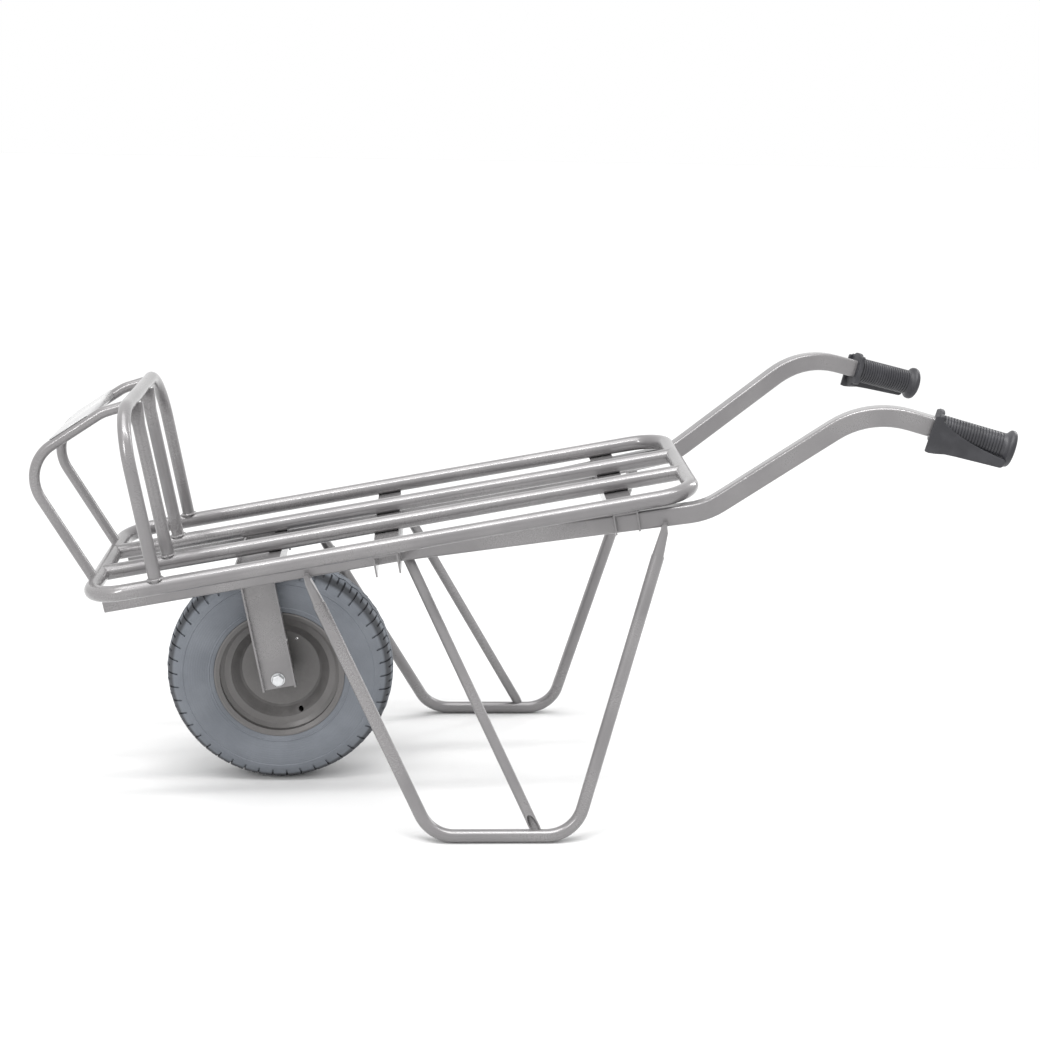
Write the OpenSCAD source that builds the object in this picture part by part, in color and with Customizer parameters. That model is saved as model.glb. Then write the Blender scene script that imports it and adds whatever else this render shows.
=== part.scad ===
// Flat-deck wheelbarrow: a welded tube frame with one pneumatic wheel and two moulded grips.
// X runs from the wheel to the handles, Y across, Z up. The origin is on the ground,
// under the middle of the object's box. Sizes are in millimetres.
// "Left" is the left hand of the person who pushes, which is the -Y side.

/* [Wheel] */
// Outer diameter of the tyre
tyre_d = 400; // [390:1:404]
// Width of the tyre
tyre_w = 100; // [90:1:106]
// Diameter over the rim flanges
rim_d = 229; // [224:1:234]
// Diameter of the axle bolt
bolt_d = 12; // [10:1:12]

/* [Deck] */
// Slope of the deck, in degrees, rising to the handles
deck_slope = 10.565; // [9:0.005:12]
// Height of the deck tubes' centre plane above the axle
deck_z = 447; // [440:1:460]
// Diameter of the deck tubes
deck_d = 26.9; // [25:0.1:28]
// Half the distance between the hoop's side tubes
hoop_y = 220; // [210:1:230]
// Half the distance between the inner deck tubes
inner_y = 67; // [60:1:80]
// Place of the hoop's front bar along the deck
hoop_front = -303; // [-310:1:-295]
// Place of the hoop's rear bar along the deck
hoop_rear = 709; // [700:1:720]

/* [Handles] */
// Width of the handle tube
rail_w = 28; // [25:1:30]
// Height of the handle tube
rail_h = 32; // [30:1:34]
// Half the distance between the handle tubes under the front of the deck
rail_y = 138; // [132:1:142]
// Angle, in degrees, at which the handle tubes spread past their bend under the deck
spread_angle = 9.37; // [8.5:0.01:10.5]

/* [Headboard] */
// Place of the headboard along the deck
head_s = -186; // [-190:1:-180]
// Height of the headboard above the deck tubes' centre plane
head_h = 288; // [270:1:300]
// Diameter of the headboard tubes
head_d = 22; // [20:1:24]

/* [Legs] */
// Diameter of the leg tube
leg_d = 22; // [20:1:24]
// Half the distance between the legs on the ground
leg_y = 309; // [300:1:315]
// Diameter of the leg struts
strut_d = 18; // [16:1:20]

/* [Bow] */
// Diameter of the front bow's tubes
bow_d = 18; // [16:1:20]
// Half the distance between the front bow's tubes
bow_y = 117; // [110:1:125]

/* [Hidden] */
$fn = 48;
e = 0.5;                      // run-out of a cut past a face

left = -1;
right = 1;

tube_wall = 2;
deck_r = deck_d / 2;
leg_r = leg_d / 2;
head_r = head_d / 2;
bow_r = bow_d / 2;
strut_r = strut_d / 2;

// Heights measured square to the deck, from its tubes' centre plane
member_top = -deck_r;
member_t = 3;
rail_top = member_top - member_t;
rail_n = rail_top - rail_h / 2;
rail_bottom = rail_top - rail_h;

// Handle tube: corners of its centre line, [along the deck, square to the deck]
rail_front = -295;
rail_kink = 213;
rail_low = [722, rail_n];
rail_crest = [999, 101];
rail_end = [1206, 3.5];
rail_low_bend = 120;
rail_crest_bend = 143;
rail_side_bend = 150;
rail_corner = 5;
rail_spread = tan(spread_angle);

// Grip
grip_len = 130;
grip_d = 46;
grip_end_d = 60;
grip_cap = 6;

// Cross-members
member_y = 222;
member_drop = rail_h + member_t;

// Fork: an upside-down U of channel, square to the deck, through the axle
axle_z = tyre_d / 2;
fork_s = (axle_z - deck_z) * sin(deck_slope);
axle_n = (axle_z - deck_z) * cos(deck_slope);
fork_w = 59;
fork_web = 4;
fork_flange = 15;
fork_top = rail_bottom + 13;     // clears the tyre by 7
fork_y = 64;                   // inner face of each arm's web
fork_end = axle_n - 16;

// Bow: corners of its centre line, [X, Z] from the axle
bow_foot = [-300, 391.5];
bow_front = [-418, 590];
bow_crest = [-280, 681];
bow_bend = 68;

// Legs: corners of the centre line, [X, Z] from the axle
leg_front = 267;
leg_rear = 506;
leg_bend = 62;
leg_tab = [7, 20, 15];         // flattened end: thickness, width across the barrow, height

// Ends of the object along X, measured from the axle
function heading(a, b) = atan2(b[1] - a[1], b[0] - a[0]);
bow_in = heading(bow_foot, bow_front);
bow_out = heading(bow_front, bow_crest);
bow_arc_x = bow_front[0] - bow_bend * tan((bow_in - bow_out) / 2) * cos(bow_in) + bow_bend * sin(bow_in);
x_min = bow_arc_x - bow_bend - bow_r;
grip_fall = atan2(rail_end[1] - rail_crest[1], (rail_end[0] - rail_crest[0]) / cos(spread_angle));
grip_x = cos(deck_slope) * cos(spread_angle) * cos(grip_fall) - sin(deck_slope) * sin(grip_fall);
x_max = deck_point(rail_end[0], 0, rail_end[1])[0]
  + grip_x * grip_cap + sqrt(1 - grip_x * grip_x) * (grip_end_d / 2 - 3);
row_x = (x_min + x_max) / 2;

function unit(v) = v / norm(v);
// A place given along, across and square to the deck, in the frame of the ground
function deck_point(s, y, n) = [
  s * cos(deck_slope) - n * sin(deck_slope), y, deck_z + s * sin(deck_slope) + n * cos(deck_slope)
];
function rail_at(s) = rail_y + max(0, s - rail_kink) * rail_spread;

module ground_frame() { translate([-row_x, 0, 0]) children(); }
module deck_frame() { ground_frame() translate([0, 0, deck_z]) rotate([0, -deck_slope, 0]) children(); }
module wheel_frame() { ground_frame() translate([0, 0, axle_z]) rotate([90, 0, 0]) children(); }

// ---- Tubes bent from a list of corners ----

module rod(a, b, r) {
  v = b - a;
  translate(a) rotate([0, acos(v[2] / norm(v)), atan2(v[1], v[0])]) cylinder(r = r, h = norm(v));
}

// Angle between two legs of a path, and the length a bend of radius r takes from each
function turn(a, b, c) = round(acos(unit(b - a) * unit(c - b)) * 100) / 100;
function reach(angle, r) = r * tan(angle / 2);
function neat(v) = round(v * 100) / 100;

// Six figures of a number, as a matrix keeps them
function six(v) = v == 0 ? 0 : let (k = pow(10, 5 - floor(log(abs(v))))) round(v * k) / k;

// Frame past a bend of radius r towards +X. The second rotation is what six figures leave out
module swing(r, angle) {
  translate([r, 0, 0]) rotate([0, angle, 0])
    rotate([0, angle - atan2(six(sin(angle)), six(cos(angle))), 0]) translate([-r, 0, 0]) children();
}

// The first child swept along +Z, and the second round each bend, a hair larger so that the
// straights end inside its wall. Each step is [length, bend, roll of the bend, bend radius]
lap = 0.5;
swell = 0.02;
module sweep(steps, i = 0) {
  s = steps[i];
  back = i > 0 ? lap : 0;
  ahead = len(s) > 1 ? lap : 0;
  translate([0, 0, -back]) linear_extrude(s[0] + back + ahead) children(0);
  if (len(s) > 1) translate([0, 0, s[0]]) rotate([0, 0, s[2]]) {
    translate([s[3], 0, 0]) mirror([1, 0, 0]) rotate([90, 0, 0])
      rotate_extrude(angle = s[1]) translate([s[3], 0]) rotate(-s[2]) children(1);
    swing(s[3], s[1]) rotate([0, 0, -s[2]]) sweep(steps, i + 1) { children(0); children(1); }
  }
}

// A hollow round tube along the steps
module tube(steps, r) {
  sweep(steps) {
    difference() { circle(r); circle(r - tube_wall); }
    difference() { circle(r + swell); circle(r - tube_wall - swell); }
  }
}

// Children placed where the sweep ends
module sweep_end(steps, i = 0) {
  s = steps[i];
  if (len(s) > 1) translate([0, 0, s[0]]) rotate([0, 0, s[2]])
    swing(s[3], s[1]) rotate([0, 0, -s[2]]) sweep_end(steps, i + 1) children();
  else translate([0, 0, s[0]]) children();
}

// The right side as drawn, or its mirror image for the left
module on_side(side) { mirror(side > 0 ? [0, 0, 0] : [0, 1, 0]) children(); }

// ---- Deck ----

hoop_bend = 62;
hoop_long = hoop_rear - hoop_front - 2 * hoop_bend;
hoop_wide = 2 * hoop_y - 2 * hoop_bend;

module hoop_bar(r) {
  for (k = [0:3]) {
    long = k % 2 == 0;
    c = [(hoop_front + hoop_rear) / 2, 0, 0];
    translate(c) rotate([0, 0, 90 * k]) translate([
      -(long ? hoop_long : hoop_wide) / 2,
      -(long ? hoop_y : (hoop_rear - hoop_front) / 2), 0
    ]) rotate([90, 0, 90]) {
      linear_extrude(long ? hoop_long : hoop_wide) circle(r);
      translate([0, 0, long ? hoop_long : hoop_wide]) translate([hoop_bend, 0, 0]) mirror([1, 0, 0])
        rotate([90, 0, 0]) rotate_extrude(angle = 90) translate([hoop_bend, 0]) circle(r);
    }
  }
}

module deck_hoop() {
  color("#a9a8a6") deck_frame() difference() {
    hoop_bar(deck_r);
    hoop_bar(deck_r - tube_wall);
  }
}

// An inner deck tube, its ends shaped to sit against the hoop's end bars
module deck_tube(side) {
  color("#b3b2b0") deck_frame() difference() {
    rod([hoop_front, side * inner_y, 0], [hoop_rear, side * inner_y, 0], deck_r);
    rod([hoop_front - e, side * inner_y, 0], [hoop_rear + e, side * inner_y, 0], deck_r - tube_wall);
    for (s = [hoop_front, hoop_rear]) rod([s, -hoop_y, 0], [s, hoop_y, 0], deck_r);
  }
}
module left_deck_tube() { deck_tube(left); }
module right_deck_tube() { deck_tube(right); }

// An upside-down channel across the barrow, notched over the two handle tubes
module cross_member(s, width) {
  color("#a4a3a1") difference() {
    deck_frame() difference() {
      translate([s - width / 2, -member_y, member_top - member_drop]) cube([width, 2 * member_y, member_drop]);
      translate([s - width / 2 + member_t, -member_y - e, member_top - member_drop - e])
        cube([width - 2 * member_t, 2 * (member_y + e), member_drop - member_t + e]);
    }
    for (side = [left, right]) rail_start(side) sweep(rail_steps) { rail_section(0); rail_section(-swell); }
  }
}
// The front member is notched over the tyre and ends at the handle tubes
module front_cross_member() {
  difference() {
    cross_member(-4, 22);
    deck_frame() translate([-4 - 22 / 2 - e, -half_w - 7, rail_bottom - e]) cube([22 + 2 * e, 2 * half_w + 14, 11 + e]);
    for (side = [left, right]) deck_frame()
      translate([-4 - 22 / 2 - e, side > 0 ? rail_y - rail_w / 2 : -member_y - 1, rail_bottom - e])
        cube([22 + 2 * e, member_y + 1 - rail_y + rail_w / 2, member_drop + 2 * e]);
  }
}
module middle_cross_member() { cross_member(190, 42); }
module rear_cross_member() { cross_member(590, 42); }

// ---- Handles ----

// The handle tube's section, each side drawn in by inset
module rail_section(inset) {
  w = rail_w - 2 * inset;
  h = rail_h - 2 * inset;
  r = rail_corner - inset;
  square([w - 2 * r, h], center = true);
  square([w, h - 2 * r], center = true);
  for (x = [-1, 1], y = [-1, 1]) translate([x * (w / 2 - r), y * (h / 2 - r)]) circle(r);
}

// The handle tube's steps: sideways bend, rise to the crest, fall to the grip
rail_low_x = (rail_low[0] - rail_kink) / cos(spread_angle);
rail_crest_x = (rail_crest[0] - rail_kink) / cos(spread_angle);
rail_end_x = (rail_end[0] - rail_kink) / cos(spread_angle);
rise = turn([0, rail_n], [rail_low_x, rail_n], [rail_crest_x, rail_crest[1]]);
fall = turn([rail_low_x, rail_n], [rail_crest_x, rail_crest[1]], [rail_end_x, rail_end[1]]);
side_cut = reach(spread_angle, rail_side_bend);
rise_cut = reach(rise, rail_low_bend);
fall_cut = reach(fall, rail_crest_bend);
rail_steps = [
  [neat(rail_kink - side_cut - rail_front), spread_angle, 0, rail_side_bend],
  [neat(rail_low_x - side_cut - rise_cut), rise, 90, rail_low_bend],
  [neat(norm([rail_crest_x - rail_low_x, rail_crest[1] - rail_n]) - rise_cut - fall_cut),
    fall, -90, rail_crest_bend],
  [neat(norm([rail_end_x - rail_crest_x, rail_end[1] - rail_crest[1]]) - fall_cut)]
];

// Where a handle tube starts, with +Z along it, +X outwards and +Y off the deck
module rail_start(side) {
  deck_frame() on_side(side) translate([rail_front, rail_y, rail_n]) rotate([90, 0, 90]) children();
}

module handle_tube(side) {
  color("#8f8f90") rail_start(side) difference() {
    sweep(rail_steps) { rail_section(0); rail_section(-swell); }
    sweep(rail_steps) { rail_section(tube_wall); rail_section(tube_wall + swell); }
  }
}
module left_handle_tube() { handle_tube(left); }
module right_handle_tube() { handle_tube(right); }

// Frame whose origin is at the handle tube's end, with +X out along the grip and +Y outwards
module grip_frame(side) {
  rail_start(side) sweep_end(rail_steps) rotate([90, 0, 90]) rotate([90, 0, 90]) children();
}

// Barrel, rolled end, square collar and the guard on the outer side, over the tube's end
module grip(side) {
  front = grip_cap - grip_len;
  guard_y = grip_d / 2 - 3;
  color("#3c3c42") grip_frame(side) difference() {
    union() {
      translate([front, 0, 0]) rotate([0, 90, 0]) cylinder(d = grip_d, h = grip_len - 4);
      translate([grip_cap - 14, 0, 0]) rotate([90, 0, 90]) rotate_extrude() grip_end_half();
      translate([front, -27, -28]) cube([9, 54, 54]);
      hull() {
        translate([front - 6, guard_y, -38]) cube([8, 7, 62]);
        translate([front + 20, guard_y, -36]) cube([6, 7, 42]);
        translate([front + 110, guard_y, -30]) cube([6, 5, 8]);
      }
    }
    translate([front - 2 * grip_cap, 0, 0]) rotate([90, 0, 90])
      linear_extrude(grip_len + grip_cap) rail_section(0);
  }
}

module grip_end_half() {
  r = grip_end_d / 2;
  polygon([[0, 0], [grip_d / 2 - 1, 0], [r, 6], [r, 11], [r - 3, 14], [0, 14]]);
}
module left_grip() { grip(left); }
module right_grip() { grip(right); }

// ---- Headboard ----

head_bend = 88;
head_rise = head_h - head_bend;
head_wide = 2 * (hoop_y - head_bend);

module head_arch_tube() {
  translate([head_s, -hoop_y, 0]) rotate([0, 0, 90])
    tube([[head_rise, 90, 0, head_bend], [head_wide, 90, 0, head_bend], [head_rise]], head_r);
}

module headboard_arch() {
  color("#a3a2a0") deck_frame() difference() {
    head_arch_tube();
    for (y = [-hoop_y, hoop_y]) rod([hoop_front, y, 0], [hoop_rear, y, 0], deck_r);
  }
}

// A headboard bar: its foot is shaped to the deck tube, its top is flattened under the arch
module headboard_bar(side) {
  y = side * inner_y;
  top = head_h - head_r;
  neck = top - 34;
  color("#9a9998") deck_frame() difference() {
    union() {
      difference() {
        rod([head_s, y, 0], [head_s, y, neck], head_r);
        rod([head_s, y, -e], [head_s, y, neck - 4], head_r - tube_wall);
      }
      hull() {
        translate([head_s, y, neck - 0.1]) cylinder(r = head_r, h = 0.1, $fn = 32);
        translate([head_s - 15, y - 2.5, top + 2]) cube([30, 5, 1]);
      }
    }
    rod([hoop_front, y, 0], [hoop_rear, y, 0], deck_r);
    rod([head_s, -hoop_y, head_h], [head_s, hoop_y, head_h], head_r);
  }
}
module left_headboard_bar() { headboard_bar(left); }
module right_headboard_bar() { headboard_bar(right); }

// ---- Front bow ----

head_top = deck_point(head_s, 0, head_h);
bow_end = [head_top[0], head_top[2] - 1];

bow_rise = turn(bow_foot, bow_front, bow_crest);
bow_flat = turn(bow_front, bow_crest, bow_end);
bow_lean = neat(atan2(bow_front[0] - bow_foot[0], bow_front[1] - bow_foot[1]));
bow_steps = [
  [neat(norm(bow_front - bow_foot) - reach(bow_rise, bow_bend)), bow_rise, 0, bow_bend],
  [neat(norm(bow_crest - bow_front) - reach(bow_rise, bow_bend) - reach(bow_flat, bow_bend)),
    bow_flat, 0, bow_bend],
  [neat(norm(bow_end - bow_crest) - reach(bow_flat, bow_bend))]
];

module bow_start(side) {
  ground_frame() translate([bow_foot[0], side * bow_y, bow_foot[1]]) rotate([0, bow_lean, 0]) children();
}

module bow_tube(side) {
  color("#98989a") difference() {
    bow_start(side) tube(bow_steps, bow_r);
    deck_frame() rod([hoop_front, -hoop_y, 0], [hoop_front, hoop_y, 0], deck_r);
    deck_frame() rod([head_s, -hoop_y, head_h], [head_s, hoop_y, head_h], head_r);
  }
}
module left_bow_tube() { bow_tube(left); }
module right_bow_tube() { bow_tube(right); }

// Frame at the lower end of the bow's upper slope: +X up the slope, +Z off the tubes
plate_t = 1.5;
plate_len = 76;
module plate_frame() {
  ground_frame() translate([bow_front[0], 0, bow_front[1]]) rotate([0, -bow_out, 0])
    translate([bow_bend * tan((bow_in - bow_out) / 2) + 2, 0, bow_r]) children();
}

module bow_plate() {
  color("#dcdcda") plate_frame() {
    translate([0, -bow_y - 4, 0]) cube([plate_len, 2 * (bow_y + 4), plate_t]);
    translate([plate_len - plate_t, -bow_y + bow_r + 4, -12]) cube([plate_t, 2 * (bow_y - bow_r - 4), 12]);
  }
}

// ---- Legs ----

// Frame at the place on a handle tube's outer face where a leg's flattened end is welded
module rail_face(side, s, n) {
  angle = s > rail_kink ? spread_angle : 0;
  deck_frame() on_side(side) translate([s, rail_at(s) + rail_w / 2 / cos(angle), n])
    rotate([0, 0, angle]) children();
}

tab_n = rail_bottom + 2;
leg_top_s = [50, 652];
// A leg's two halves run from the middle of its ground run to the necks below its flattened ends
leg_mid = (leg_front + leg_rear) / 2;
function leg_weld(k) = deck_point(leg_top_s[k], rail_at(leg_top_s[k]) + rail_w / 2 + leg_tab[1] / 2, tab_n);
function leg_foot(k) = [k == 0 ? leg_front : leg_rear, leg_y, leg_r];
function leg_up(k) = leg_weld(k) - leg_foot(k);
function leg_turn(k) = neat(acos((k == 0 ? -1 : 1) * unit(leg_up(k))[0]));
function leg_steps(k) = [
  [neat((leg_rear - leg_front) / 2 - reach(leg_turn(k), leg_bend)) - 1, leg_turn(k),
    neat(atan2(leg_up(k)[2], leg_up(k)[1])), leg_bend],
  [neat(norm(leg_up(k)) - 48 - reach(leg_turn(k), leg_bend))]
];

module leg_start(side, k) {
  ground_frame() on_side(side) translate([leg_mid, leg_y, leg_r])
    mirror(k == 0 ? [1, 0, 0] : [0, 0, 0]) rotate([90, 0, 90]) translate([0, 0, 1]) children();
}

// A leg's upper end, seen from the frame of the weld
function face_axes(k) = let (a = leg_top_s[k] > rail_kink ? spread_angle : 0) [
  [cos(deck_slope) * cos(a), sin(a), sin(deck_slope) * cos(a)],
  [-cos(deck_slope) * sin(a), cos(a), -sin(deck_slope) * sin(a)],
  [-sin(deck_slope), 0, cos(deck_slope)]
];
function face_point(k) = deck_point(leg_top_s[k],
  rail_at(leg_top_s[k]) + rail_w / 2 / cos(leg_top_s[k] > rail_kink ? spread_angle : 0), tab_n);
function in_face(k, v) = [for (axis = face_axes(k)) axis * v];
function leg_neck(k) = in_face(k, leg_foot(k) + unit(leg_up(k)) * (norm(leg_up(k)) - 58) - face_point(k));

// One tube per leg, stopped in the middle of its ground run, with its ends flattened to tabs
module leg(side) {
  color("#8d8d8e") {
    for (k = [0, 1]) {
      leg_start(side, k) tube(leg_steps(k), leg_r);
      rail_face(side, leg_top_s[k], tab_n) hull() {
        rod(leg_neck(k) - 2 * unit(in_face(k, leg_up(k))), leg_neck(k) + unit(in_face(k, leg_up(k))),
          leg_r - 0.4, $fn = 24);
        translate([-leg_tab[0] / 2, 0.02, -leg_tab[2] / 2]) cube(leg_tab);
      }
    }
    ground_frame() translate([leg_mid - 2, side * leg_y, leg_r]) rotate([0, 90, 0])
      cylinder(r = leg_r - 0.05, h = 4);
  }
}
module left_leg() { leg(left); }
module right_leg() { leg(right); }

// A strut from the handle tube's underside to the leg's bottom run, cut off plumb above it
module leg_strut(side) {
  top = deck_point(222, side * rail_at(222), rail_bottom);
  foot = [436, side * leg_y, 32];
  u = unit(foot - top);
  color("#8a8a8b") difference() {
    ground_frame() difference() {
      rod(top - 20 * u, foot + 14 * u, strut_r);
      rod(top - 30 * u, foot + 20 * u, strut_r - tube_wall);
      translate([0, side > 0 ? leg_y + 1 : -leg_y - 61, -20]) cube([800, 60, 200]);
      rod([leg_front, side * leg_y, leg_r], [leg_rear, side * leg_y, leg_r], leg_r);
    }
    deck_frame() translate([100, -400, rail_bottom]) cube([300, 800, 100]);
  }
}
module left_leg_strut() { leg_strut(left); }
module right_leg_strut() { leg_strut(right); }

// ---- Fork ----

// The fork's crosspiece: a channel with its open side up, between the handle tubes
module fork_head() {
  inner = rail_y - rail_w / 2;
  color("#8b8b8b") deck_frame() translate([fork_s - fork_w / 2, -inner, fork_top]) difference() {
    cube([fork_w, 2 * inner, fork_flange]);
    translate([3, -e, fork_web]) cube([fork_w - 6, 2 * (inner + e), fork_flange]);
  }
}

// A fork arm: a channel with its open side outwards, drilled for the axle bolt
module fork_arm(side) {
  len = fork_top - fork_end;
  color("#8f8f90") deck_frame() difference() {
    translate([fork_s - fork_w / 2, side > 0 ? fork_y : -fork_y - fork_flange, fork_end])
      cube([fork_w, fork_flange, len]);
    translate([fork_s - fork_w / 2 + 3, side > 0 ? fork_y + fork_web : -fork_y - fork_flange - e, fork_end - e])
      cube([fork_w - 6, fork_flange - fork_web + e, len + 2 * e]);
    translate([fork_s, 0, axle_n]) rotate([90, 0, 0]) cylinder(d = bolt_d + 1, h = 4 * fork_y, center = true);
  }
}
module left_fork_arm() { fork_arm(left); }
module right_fork_arm() { fork_arm(right); }

// ---- Axle. In the wheel frame +Z points to the left side ----

seat = fork_y + fork_web;      // outer face of each fork arm's web
washer_t = 2.5;
head_t = 7.5;
nut_t = 10;
hex_d = 19 / cos(30);          // across the corners of a 19 mm hexagon

module axle_bolt() {
  color("#d9dbdc") wheel_frame() {
    translate([0, 0, seat + washer_t]) cylinder(d = hex_d, h = head_t, $fn = 6);
    translate([0, 0, -seat - washer_t - nut_t - 5]) cylinder(d = bolt_d, h = 2 * (seat + washer_t) + nut_t + 5);
  }
}

module axle_nut() {
  color("#d0d2d3") wheel_frame() translate([0, 0, -seat - washer_t - nut_t]) difference() {
    cylinder(d = hex_d, h = nut_t, $fn = 6);
    translate([0, 0, -e]) cylinder(d = bolt_d, h = nut_t + 2 * e);
  }
}

module ring(d, bore, z0, z1) {
  translate([0, 0, z0]) difference() {
    cylinder(d = d, h = z1 - z0);
    translate([0, 0, -e]) cylinder(d = bore, h = z1 - z0 + 2 * e);
  }
}

module left_washer() { color("#cfd1d2") wheel_frame() ring(24, bolt_d + 1, seat, seat + washer_t); }
module right_washer() { color("#cfd1d2") wheel_frame() ring(24, bolt_d + 1, -seat - washer_t, -seat); }

axle_tube_d = 20;
module axle_tube() { color("#b8babb") wheel_frame() ring(axle_tube_d, bolt_d + 0.4, -fork_y, fork_y); }

hub_len = 88;
bearing_lip = 3;
spacer_in = hub_len / 2 + bearing_lip + 0.4;
module left_spacer() { color("#6d6c6a") wheel_frame() ring(28, axle_tube_d, spacer_in, fork_y); }
module right_spacer() { color("#6d6c6a") wheel_frame() ring(28, axle_tube_d, -fork_y, -spacer_in); }

// ---- Wheel ----

rim_t = 2.5;
rim_r = rim_d / 2;
bead_r = rim_r - 7;            // outside of the seat that the tyre's bead sits on
hub_r = 22;

// Half section of one pressed rim half: [radius, height from the wheel's middle], inside face
rim_face = [
  [hub_r, rim_t], [hub_r + 47, rim_t], [hub_r + 51, rim_t + 3], [hub_r + 61, rim_t + 14],
  [hub_r + 65, rim_t + 18], [hub_r + 76, rim_t + 22], [bead_r - rim_t, rim_t + 27], [bead_r - rim_t, rim_t + 38],
  [rim_r - 3, rim_t + 41], [rim_r, rim_t + 41]
];
rim_back = [
  [rim_r, rim_t + 38.5], [bead_r, rim_t + 35.5], [bead_r, rim_t + 26], [hub_r + 77, rim_t + 19],
  [hub_r + 66, rim_t + 15], [hub_r + 53, 0.5], [hub_r + 50, 0], [hub_r, 0]
];

module rim_half(side) {
  color("#6e6a67") wheel_frame() mirror([0, 0, side > 0 ? 1 : 0]) difference() {
    rotate_extrude() polygon(concat(rim_face, rim_back));
    rotate(62) translate([61, 0, -e]) cylinder(d = 5, h = 4 * rim_t);
    if (side < 0) rotate(-64) translate([82, 0, 0]) cylinder(d = 9, h = 60);
  }
}
module left_rim_half() { rim_half(left); }
module right_rim_half() { rim_half(right); }

module wheel_hub() { color("#65625f") wheel_frame() ring(2 * hub_r, 36, -hub_len / 2, hub_len / 2); }

// A flanged plain bearing, pressed in the hub and turning on the axle tube
module bearing(side) {
  color("#2f3033") wheel_frame() mirror([0, 0, side > 0 ? 1 : 0]) difference() {
    union() {
      translate([0, 0, hub_len / 2 - 22]) cylinder(d = 36, h = 22);
      translate([0, 0, hub_len / 2]) cylinder(d = 42, h = bearing_lip);
    }
    translate([0, 0, hub_len / 2 - 22 - e]) cylinder(d = axle_tube_d + 0.1, h = 22 + bearing_lip + 2 * e);
  }
}
module left_bearing() { bearing(left); }
module right_bearing() { bearing(right); }

// Half section of the tyre: flat bead base, bulged walls and a crowned tread
tyre_r = tyre_d / 2;
half_w = tyre_w / 2;
bead_w = rim_t + 35.5;
tyre_half = [
  [bead_r, bead_w], [rim_r, bead_w + 3], [rim_r + 0.5, bead_w + 5], [bead_r + 20, half_w - 4],
  [bead_r + 36, half_w], [tyre_r - 38, half_w], [tyre_r - 24, half_w - 2], [tyre_r - 12, half_w - 9],
  [tyre_r - 5, half_w - 19], [tyre_r - 1.5, half_w - 32]
];
tyre_outline = concat(tyre_half, [[tyre_r, 0]],
  [for (i = [len(tyre_half) - 1:-1:0]) [tyre_half[i][0], -tyre_half[i][1]]]);
module tyre() {
  color("#7d828c") wheel_frame() rotate_extrude() polygon(tyre_outline);
}

deck_hoop();
left_deck_tube();
right_deck_tube();
front_cross_member();
middle_cross_member();
rear_cross_member();
left_handle_tube();
right_handle_tube();
left_grip();
right_grip();
headboard_arch();
left_headboard_bar();
right_headboard_bar();
left_bow_tube();
right_bow_tube();
bow_plate();
left_leg();
right_leg();
left_leg_strut();
right_leg_strut();
fork_head();
left_fork_arm();
right_fork_arm();
axle_bolt();
axle_nut();
left_washer();
right_washer();
axle_tube();
left_spacer();
right_spacer();
tyre();
left_rim_half();
right_rim_half();
wheel_hub();
left_bearing();
right_bearing();
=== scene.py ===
"""Wheelbarrow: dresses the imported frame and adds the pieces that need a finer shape."""
import logging
import math
from dataclasses import dataclass, field
from enum import Enum
from typing import Callable, Optional, Sequence, Union

import bpy
from mathutils import Matrix, Vector


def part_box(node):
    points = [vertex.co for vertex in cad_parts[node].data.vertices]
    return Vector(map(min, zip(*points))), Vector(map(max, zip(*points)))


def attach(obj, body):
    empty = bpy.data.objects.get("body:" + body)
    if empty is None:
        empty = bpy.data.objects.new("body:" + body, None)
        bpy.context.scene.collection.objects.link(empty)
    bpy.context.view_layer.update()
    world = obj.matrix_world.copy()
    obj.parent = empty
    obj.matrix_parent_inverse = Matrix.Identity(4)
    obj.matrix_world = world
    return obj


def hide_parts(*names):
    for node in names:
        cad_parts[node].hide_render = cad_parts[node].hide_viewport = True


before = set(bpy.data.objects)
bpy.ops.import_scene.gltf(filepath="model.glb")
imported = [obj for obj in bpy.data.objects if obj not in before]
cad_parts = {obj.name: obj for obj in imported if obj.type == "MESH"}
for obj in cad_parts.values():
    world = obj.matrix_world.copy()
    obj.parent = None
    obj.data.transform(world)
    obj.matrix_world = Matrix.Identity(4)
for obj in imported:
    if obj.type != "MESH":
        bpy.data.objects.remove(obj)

LOG = logging.getLogger("barrow")
TURN = 2 * math.pi
DECK_SLOPE = math.radians(10.565)
DECK_NORMAL = Vector((-math.sin(DECK_SLOPE), 0, math.cos(DECK_SLOPE)))
DECK_START = Vector((-0.39756, 0, 0.447))
WELD_GAP = 0.00002
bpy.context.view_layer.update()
Pair = tuple[float, float]
Color = tuple[float, float, float]
Number = Union[float, "Value"]


class Body(Enum):
    """The moving bodies of the barrow."""

    FRAME = "frame"
    WHEEL = "wheel"


class Side(Enum):
    """The pusher's left or right, as the sign of Y."""

    LEFT = -1
    RIGHT = 1


# ---- Shader graphs ----


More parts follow.
